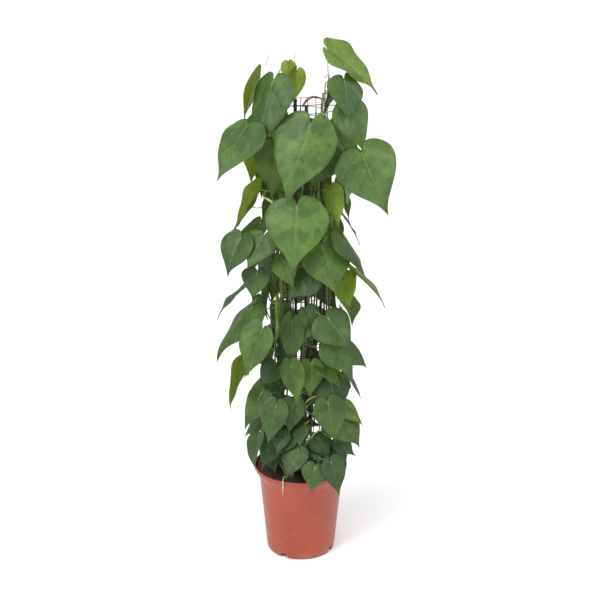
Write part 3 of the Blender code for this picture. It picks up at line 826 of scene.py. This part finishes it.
# a leaf joint: how far under the blade, how far along the midrib, half thickness
JOINT = (
    (0.0055, 0.0018, 0.0014),
    (0.0030, 0.0020, 0.0019),
    (0.0012, 0.0050, 0.0017),
    (0.0010, 0.0140, 0.0006),
)


def build_leaf_joints(material):
    """The swollen end of each stalk, where it bends into the midrib."""
    shape = bmesh.new()
    for name in LEAF_NAMES:
        leaf = read_leaf(name)
        along, _, out = (Vector(axis) for axis in leaf["axes"])
        base = Vector(leaf["origin"])
        level = float(leaf["height"](np.array(0.0), np.array(0.0)))
        points = [base + out * (level - below) + along * ahead for below, ahead, _ in JOINT]
        tube(shape, points, [thick for _, _, thick in JOINT], 8)
    add_shape("leaf_joints", shape, material)


# ---- build: vines, net, stakes -------------------------------------------------------------------
def build_vines(material, root_material):
    for name in VINE_NAMES:
        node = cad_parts[name]
        node.data.materials.clear()
        node.data.materials.append(material)
        rounded = node.modifiers.new("even_skin", "REMESH")
        rounded.mode = "VOXEL"
        rounded.voxel_size = 0.0008
        rounded.use_smooth_shade = True
        relaxed = node.modifiers.new("round_off", "SMOOTH")
        relaxed.factor = 0.5
        relaxed.iterations = 6
    shape = bmesh.new()
    for name in VINE_NAMES:
        chance = random.Random(name + "roots")
        _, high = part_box(name)
        height = SOIL_TOP + 0.05
        while height < high.z - 0.03:
            root_pair(shape, stem_at(name, height), chance)
            height += chance.uniform(0.035, 0.07)
    add_shape("clinging_roots", shape, root_material)


def root_pair(shape, start, chance):
    """Short brown roots by which a stem clings to the net."""
    away = Vector((start.x, start.y, 0.0)).normalized()
    side = away.cross(Vector((0, 0, 1)))
    for sign in (-1, 1):
        if chance.random() < 0.35:
            continue
        reach = chance.uniform(0.010, 0.028)
        end = start - away * 0.011 + side * sign * reach + Vector((0, 0, chance.uniform(-0.01, 0.006)))
        middle = start + side * sign * reach * 0.5 - away * 0.004
        points = bezier(start, middle, middle + Vector((0, 0, chance.uniform(-0.004, 0.004))), end, 7)
        tube(shape, points, [0.0011 - 0.0001 * i for i in range(7)], 6)


SHOOTS_PER_VINE = 4
SHOOT_POINTS = 40
GROWTH_POINTS = 22


def build_strands(material):
    """Thin side shoots that climb between the main stems, close on the net."""
    shape = bmesh.new()
    for name in VINE_NAMES:
        chance = random.Random(name + "strand")
        for _ in range(SHOOTS_PER_VINE):
            start = stem_at(name, SOIL_TOP + chance.uniform(0.02, 0.30))
            turn = math.atan2(start.y, start.x)
            drift = chance.choice((-1, 1)) * chance.uniform(0.6, 1.3)
            top = chance.uniform(0.75, 1.0) * NET_HIGH.z
            phase = chance.uniform(0, math.tau)
            points = []
            for i in range(SHOOT_POINTS):
                share = i / (SHOOT_POINTS - 1)
                angle = turn + drift * share + 0.10 * math.sin(9 * share + phase)
                radius = NET_RADIUS + 0.0045 + 0.0018 * math.sin(23 * share + phase)
                height = start.z + (top - start.z) * share
                points.append((*polar(radius, angle), height))
            tube(shape, points, [0.0026 - 0.0011 * i / SHOOT_POINTS for i in range(SHOOT_POINTS)], 8)
    add_shape("side_shoots", shape, material)


# small growths: the vine and height (cm) they leave, thickest half width in mm, which material, and
# the points they pass (cm); one with no vine starts at its first point
GROWTHS = (
    ("pale_spike", "vine_4", 117.0, 1.0, "pale",
     ((-0.6, 5.0, 121.5), (-1.3, 3.0, 126.0), (-1.6, 2.0, 129.5))),
    ("rolled_tip_stalk", "vine_2", 119.0, 0.8, "green",
     ((-5.9, -4.2, 122.8), (-8.2, -2.7, 126.2))),
    ("rolled_tip", None, 0.0, 1.5, "pink",
     ((-8.2, -2.7, 126.2), (-7.9, -2.4, 127.6), (-7.0, -2.0, 129.0))),
    ("dry_sheath", None, 0.0, 3.0, "brown",
     ((0.3, -6.2, 117.4), (1.4, -6.0, 119.0), (2.9, -5.8, 119.7), (4.8, -5.0, 119.2))),
    ("dry_root", "vine_1", 114.5, 1.6, "tan",
     ((4.0, -7.6, 115.9), (5.8, -7.6, 116.4), (8.1, -7.0, 116.8))),
    ("pale_bud", "vine_2", 92.5, 3.4, "pale",
     ((-6.0, -6.6, 94.2), (-7.4, -7.6, 95.6), (-9.0, -8.4, 96.6))),
    ("bright_shoot", "vine_1", 26.2, 2.8, "pale",
     ((1.9, -8.4, 28.0), (1.0, -9.5, 29.8), (2.4, -10.2, 31.2))),
    ("dark_curl", "vine_3", 40.0, 2.2, "brown",
     ((-10.2, -4.0, 41.0), (-12.6, -5.4, 40.2), (-13.6, -6.0, 37.6))),
    ("runner_arch", "vine_1", 42.5, 1.9, "pale",
     ((0.6, -8.8, 43.8), (2.6, -9.8, 46.0), (5.0, -9.2, 46.6))),
    ("runner_low", "vine_1", 29.0, 1.9, "pale",
     ((0.4, -8.6, 31.5), (2.0, -9.4, 34.5), (4.6, -8.6, 37.0))),
    ("runner_left", "vine_2", 32.0, 1.7, "pale",
     ((-3.0, -8.4, 34.6), (-0.6, -9.4, 37.4), (2.2, -9.0, 39.6))),
    ("rim_root", None, 0.0, 1.3, "pale",
     ((-3.6, -8.5, 23.4), (-4.1, -10.4, 24.8), (-4.5, -12.1, 24.3), (-4.5, -12.1, 22.4),
      (-4.6, -11.9, 20.4))),
)


def build_growths(materials):
    """Shoots, rolled leaves, runners, loose roots and a dried sheath, each swelling and tapering."""
    for name, vine, height, thick, kind, keys in GROWTHS:
        keys = [Vector(key) / 100 for key in keys]
        if vine:
            keys.insert(0, stem_at(vine, height / 100))
        points = []
        radii = []
        for i in range(GROWTH_POINTS):
            share = i / (GROWTH_POINTS - 1) * (len(keys) - 1)
            k = min(int(share), len(keys) - 2)
            before = keys[max(k - 1, 0)]
            after = keys[min(k + 2, len(keys) - 1)]
            points.append(catmull(before, keys[k], keys[k + 1], after, share - k))
            swell = math.sin(math.pi * (0.12 + 0.86 * i / (GROWTH_POINTS - 1))) ** 0.7
            radii.append(thick / 1000 * (0.25 + 0.75 * swell) * (1 + 0.10 * math.sin(2.3 * i)))
        shape = bmesh.new()
        tube(shape, points, radii, 12)
        add_shape(name, shape, materials[kind])


def catmull(a, b, c, d, t):
    """A point from b (t = 0) to c (t = 1) on a smooth curve that heeds its neighbours."""
    return 0.5 * (2 * b + (c - a) * t + (2 * a - 5 * b + 4 * c - d) * t * t + (3 * b - a - 3 * c + d) * t**3)


# netting: upright strands, spacing of the rings, and half the thickness of a strand
NET_STRANDS = 20
NET_PITCH = 0.0205
NET_WIRE = 0.00085


def polar(radius, angle):
    return radius * math.cos(angle), radius * math.sin(angle)


def build_net(material):
    """Black extruded netting: upright strands crossed by rings, the tubes running through each other where
    they meet.
    """
    chance = random.Random(5)
    strands = NET_STRANDS
    rings = int((NET_HIGH.z - NET_LOW.z) / NET_PITCH)
    pitch = (NET_HIGH.z - NET_LOW.z) / rings
    shape = bmesh.new()
    drift = [chance.uniform(-0.0012, 0.0012) for _ in range(strands)]
    for i in range(strands):
        points = []
        for k in range(rings + 1):
            height = NET_LOW.z + pitch * k
            angle = math.tau * (i + 0.12 * math.sin(0.7 * k + 1.9 * i)) / strands
            radius = NET_RADIUS + drift[i] + 0.0006 * math.sin(1.3 * k + i)
            points.append((*polar(radius, angle), height))
        tube(shape, points, [NET_WIRE] * len(points), 6)
    for k in range(rings + 1):
        points = []
        for i in range(2 * strands + 1):
            angle = math.tau * i / (2 * strands)
            height = NET_LOW.z + pitch * k + 0.0012 * math.sin(3 * angle + 1.1 * k)
            radius = NET_RADIUS + 0.0008 * math.sin(5 * angle + k)
            points.append((*polar(radius, angle), height))
        tube(shape, points, [NET_WIRE] * len(points), 6)
    add_shape("net_strands", shape, material, ("net_sleeve",))


def build_stakes(material):
    for name in ("stake_front", "stake_back"):
        low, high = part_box(name)
        middle = (low + high) / 2
        radius = (high.x - low.x) / 2
        shape = bmesh.new()
        points = []
        radii = []
        joints = 7
        for i in range(joints):
            for share, swell in ((0.0, 1.06), (0.03, 0.90), (0.5, 0.96), (0.95, 0.92), (0.985, 1.08)):
                height = low.z + (high.z - low.z) * (i + share) / joints
                points.append((middle.x, middle.y, height))
                radii.append(radius * swell)
        points.append((middle.x, middle.y, high.z))
        radii.append(radius * 0.8)
        tube(shape, points, radii, 16)
        add_piece(name + "_cane", finish_shape(name, shape), (material,), (name,))


# ---- build: pot and soil -------------------------------------------------------------------------
WALL = 0.0025
# notches round the foot and drain holes in the floor, one of each per quarter turn
SLOTS = 4
SLOT_FIRST = -119.5
SLOT_SIZE = (0.024, 0.020, 0.022)
HOLE_RADIUS = 0.005
HOLE_CIRCLE = 0.045
# the soil's side below its surface, inside the wall all the way down: radius and height
SOIL_SIDE = ((0.1145, 0.2205), (0.1040, 0.2040), (0.1020, 0.1900), (0.0850, 0.0060))


def build_pot(material):
    wall = WALL
    top = POT_HEIGHT
    rim = RIM_RADIUS
    band = top - 0.012
    neck_height = 0.867 * top
    neck = rim * 0.896
    base = rim * 0.733
    profile = [
        (0.0, 0.0035),
        (base * 0.55, 0.0032),
        (base - wall - 0.003, 0.0034),
        (base - wall, 0.0065),
        (neck - wall, neck_height),
        (rim - wall - 0.0012, band - 0.001),
        (rim - wall - 0.0003, band + 0.002),
        (rim - wall, top - 0.0016),
        (rim - wall * 0.75, top - 0.0004),
        (rim - wall * 0.5, top),
        (rim - wall * 0.2, top - 0.0004),
        (rim, top - 0.0016),
        (rim - 0.0004, top - 0.0040),
        (rim - 0.0010, band + 0.0010),
        (rim - 0.0014, band),
        (rim - 0.0021, band - 0.0006),
        (rim - 0.0030, band - 0.0020),
        (neck + 0.0026, neck_height + 0.0044),
        (neck + 0.0009, neck_height + 0.0010),
        (neck - 0.0002, neck_height - 0.0040),
        (base + 0.0012, 0.0120),
        (base + 0.0002, 0.0040),
        (base - 0.0010, 0.0012),
        (base - 0.0030, 0.0),
        (base * 0.86, 0.0),
        (base * 0.84, 0.0012),
        (base * 0.30, 0.0012),
        (base * 0.28, 0.0004),
        (0.0, 0.0004),
    ]
    body = new_object("pot_blank", lathe("pot_blank", profile, 144))
    cutters = [body]
    for i in range(SLOTS):
        turn = math.radians(SLOT_FIRST + 90.0 * i)
        shape = bmesh.new()
        bmesh.ops.create_cube(shape, size=1.0)
        bmesh.ops.scale(shape, vec=SLOT_SIZE, verts=shape.verts)
        bmesh.ops.bevel(shape, geom=shape.edges[:], offset=0.003, segments=3, affect="EDGES")
        for vertex in shape.verts:
            x, y = vertex.co.x + base, vertex.co.y
            vertex.co.x = x * math.cos(turn) - y * math.sin(turn)
            vertex.co.y = x * math.sin(turn) + y * math.cos(turn)
            vertex.co.z += 0.001
        cutters.append(add_cutter("slot_%d" % i, shape, body))
        hole = bmesh.new()
        bmesh.ops.create_cone(
            hole, cap_ends=True, segments=32, radius1=HOLE_RADIUS, radius2=HOLE_RADIUS, depth=0.03
        )
        place = (*polar(HOLE_CIRCLE, turn + math.pi / 4), 0.0)
        bmesh.ops.translate(hole, vec=place, verts=hole.verts)
        cutters.append(add_cutter("hole_%d" % i, hole, body))
    graph = bpy.context.evaluated_depsgraph_get()
    mesh = bpy.data.meshes.new_from_object(body.evaluated_get(graph))
    for item in cutters:
        bpy.data.objects.remove(item, do_unlink=True)
    piece = add_piece("nursery_pot", mesh, (material,), ("pot",))
    crease = piece.modifiers.new("crisp_edges", "EDGE_SPLIT")
    crease.split_angle = math.radians(40)


def add_cutter(name, shape, body):
    cutter = new_object(name, finish_shape(name, shape))
    cut = body.modifiers.new(name, "BOOLEAN")
    cut.operation = "DIFFERENCE"
    cut.solver = "EXACT"
    cut.object = cutter
    return cutter


def soil_height(x, y):
    """Level of the soil surface, mounded in the middle and lumpy."""
    radius = math.hypot(x, y)
    outer = RIM_RADIUS - 0.005
    mound = SOIL_TOP - 0.0035 - 0.007 * (radius / outer) ** 2
    lump = noise.fractal(Vector((x * 55, y * 55, 3.1)), 0.8, 2.1, 5)
    crumb = noise.noise(Vector((x * 260, y * 260, 7.7)))
    return mound + 0.0026 * lump + 0.0009 * crumb


def build_soil(material, crumb_material):
    outer = RIM_RADIUS - 0.0045
    rings, spokes = 58, 150
    shape = bmesh.new()
    centre = shape.verts.new((0.0, 0.0, soil_height(0.0, 0.0)))

    def ring(radius, level):
        places = [polar(radius, math.tau * i / spokes) for i in range(spokes)]
        return [shape.verts.new((x, y, level(x, y))) for x, y in places]

    loops = [ring(outer * k / rings, soil_height) for k in range(1, rings + 1)]
    for radius, height in SOIL_SIDE:
        loops.append(ring(radius, lambda x, y: height))
    for i in range(spokes):
        k = (i + 1) % spokes
        shape.faces.new((centre, loops[0][i], loops[0][k])).smooth = True
        for inner, around in zip(loops, loops[1:]):
            shape.faces.new((inner[i], around[i], around[k], inner[k])).smooth = True
    shape.faces.new(list(reversed(loops[-1])))
    add_shape("soil_surface", shape, material, ("soil",))
    scatter_crumbs("bark_crumbs", 420, 0.0034, crumb_material, outer)


def scatter_crumbs(name, count, size, material, outer):
    chance = random.Random(name)
    shape = bmesh.new()
    for _ in range(count):
        radius = outer * 0.96 * math.sqrt(chance.random())
        angle = chance.uniform(0, math.tau)
        x, y = polar(radius, angle)
        scale = size * chance.uniform(0.5, 1.3)
        made = bmesh.ops.create_icosphere(shape, subdivisions=1, radius=scale)["verts"]
        squash = (chance.uniform(0.6, 1.4), chance.uniform(0.6, 1.4), chance.uniform(0.35, 0.8))
        for vertex in made:
            jitter = 1 + 0.25 * noise.noise(vertex.co * 900 + Vector((x, y, 0)) * 500)
            vertex.co = Vector((vertex.co[i] * squash[i] * jitter for i in range(3)))
        level = soil_height(x, y) + scale * 0.2
        bmesh.ops.translate(shape, vec=(x, y, level), verts=made)
    add_shape(name, shape, material)


# ---- stage, lights and camera --------------------------------------------------------------------
FLOOR_REACH = 60.0
# studio light: brightest along the horizon, so that floor and background meet unseen
HORIZON_LIGHT, HORIZON_TOP = 1.03, 0.12
SKY_LIGHT, SKY_BOTTOM = 0.84, 0.55
CAMERA_PLACE = (-0.002, -2.93, 1.67)
CAMERA_TILT = 71.37
CAMERA_LENS = 74.6
LAMP_TARGET = (0.0, 0.0, 0.9)


def build_stage():
    floor_mesh = bpy.data.meshes.new("floor")
    side = FLOOR_REACH
    corners = [(-side, -side, 0.0), (side, -side, 0.0), (side, side, 0.0), (-side, side, 0.0)]
    floor_mesh.from_pydata(corners, [], [(0, 1, 2, 3)])
    floor = new_object("floor", floor_mesh)
    tree = Tree("pale_floor")
    tree.set("Base Color", (0.93, 0.93, 0.93))
    tree.set("Roughness", 0.8)
    floor_mesh.materials.append(tree.material)
    world = bpy.data.worlds.new("studio")
    bpy.context.scene.world = world
    world.use_nodes = True
    nodes = world.node_tree.nodes
    split = nodes.new("ShaderNodeSeparateXYZ")
    world.node_tree.links.new(nodes.new("ShaderNodeTexCoord").outputs["Generated"], split.inputs[0])
    rise = nodes.new("ShaderNodeMapRange")
    rise.interpolation_type = "SMOOTHSTEP"
    levels = (0.0, HORIZON_TOP, SKY_BOTTOM, HORIZON_LIGHT, SKY_LIGHT)
    for socket, number in zip(rise.inputs, levels):
        socket.default_value = number
    world.node_tree.links.new(split.outputs[2], rise.inputs[0])
    nodes["Background"].inputs["Color"].default_value = (1.0, 1.0, 1.0, 1.0)
    world.node_tree.links.new(rise.outputs[0], nodes["Background"].inputs["Strength"])


def add_lamp(name, place, target, size, power):
    data = bpy.data.lights.new(name, "AREA")
    data.shape = "RECTANGLE"
    data.size = size
    data.size_y = size
    data.energy = power
    lamp = new_object(name, data)
    lamp.location = place
    lamp.rotation_euler = (Vector(target) - Vector(place)).to_track_quat("-Z", "Y").to_euler()


def add_sun(name, direction, power, spread):
    data = bpy.data.lights.new(name, "SUN")
    data.energy = power
    data.angle = math.radians(spread)
    lamp = new_object(name, data)
    lamp.rotation_euler = Vector(direction).to_track_quat("Z", "Y").to_euler()


def build_camera():
    data = bpy.data.cameras.new("camera")
    data.lens = CAMERA_LENS
    data.sensor_width = 36.0
    camera = new_object("camera", data)
    camera.location = CAMERA_PLACE
    camera.rotation_euler = (math.radians(CAMERA_TILT), 0.0, 0.0)
    bpy.context.scene.camera = camera


build_camera()
build_stage()
add_sun("key", (-0.35, -0.60, 1.0), 1.3, 45.0)
add_lamp("left_softbox", (-1.5, -1.9, 2.3), LAMP_TARGET, 0.9, 34.0)
add_lamp("right_softbox", (1.9, -0.6, 2.2), LAMP_TARGET, 0.8, 16.0)
bpy.context.scene.view_settings.view_transform = "Standard"

UPPER = leaf_material("leaf_upper_face", True)
LOWER = leaf_material("leaf_lower_face", False)
VINE = vine_material()
ROOT = plain_grain("root_brown", (0.05, 0.032, 0.016), (0.15, 0.10, 0.05), 300.0, 0.7)
STALK = plain_grain("stalk_green", (0.10, 0.17, 0.035), (0.24, 0.30, 0.085), 90.0, 0.45)
STRAND = plain_grain("shoot_olive", (0.045, 0.065, 0.018), (0.20, 0.24, 0.070), 160.0, 0.5)
PALE = plain_grain("young_pale_green", (0.28, 0.36, 0.09), (0.52, 0.60, 0.26), 120.0, 0.45)
PINK = plain_grain("young_pinkish", (0.42, 0.30, 0.24), (0.60, 0.46, 0.40), 150.0, 0.5)
DRY = plain_grain("dry_sheath_brown", (0.075, 0.038, 0.018), (0.30, 0.17, 0.095), 140.0, 0.75, 0.8, 0.001)
TAN = plain_grain("dry_root_tan", (0.20, 0.13, 0.07), (0.45, 0.33, 0.19), 180.0, 0.7)
NETTING = plain_grain("net_black", (0.004, 0.004, 0.004), (0.020, 0.020, 0.020), 200.0, 0.5)
CANE_GRAIN = (1.0, 1.0, 0.05)
CANE = plain_grain("cane_dark", (0.010, 0.008, 0.006), (0.050, 0.036, 0.022), 120.0, 0.6, stretch=CANE_GRAIN)
BARK = plain_grain("bark_crumb", (0.016, 0.009, 0.005), (0.085, 0.045, 0.024), 260.0, 0.85, 0.6)

BLADES = build_leaves((UPPER, LOWER))
build_small_leaves(BLADES, (UPPER, LOWER), STALK)
build_leaf_joints(STALK)
build_vines(VINE, ROOT)
build_strands(STRAND)
build_growths({"pale": PALE, "green": STALK, "pink": PINK, "brown": DRY, "tan": TAN})
build_net(NETTING)
build_stakes(CANE)
build_pot(pot_material())
build_soil(soil_material(), BARK)
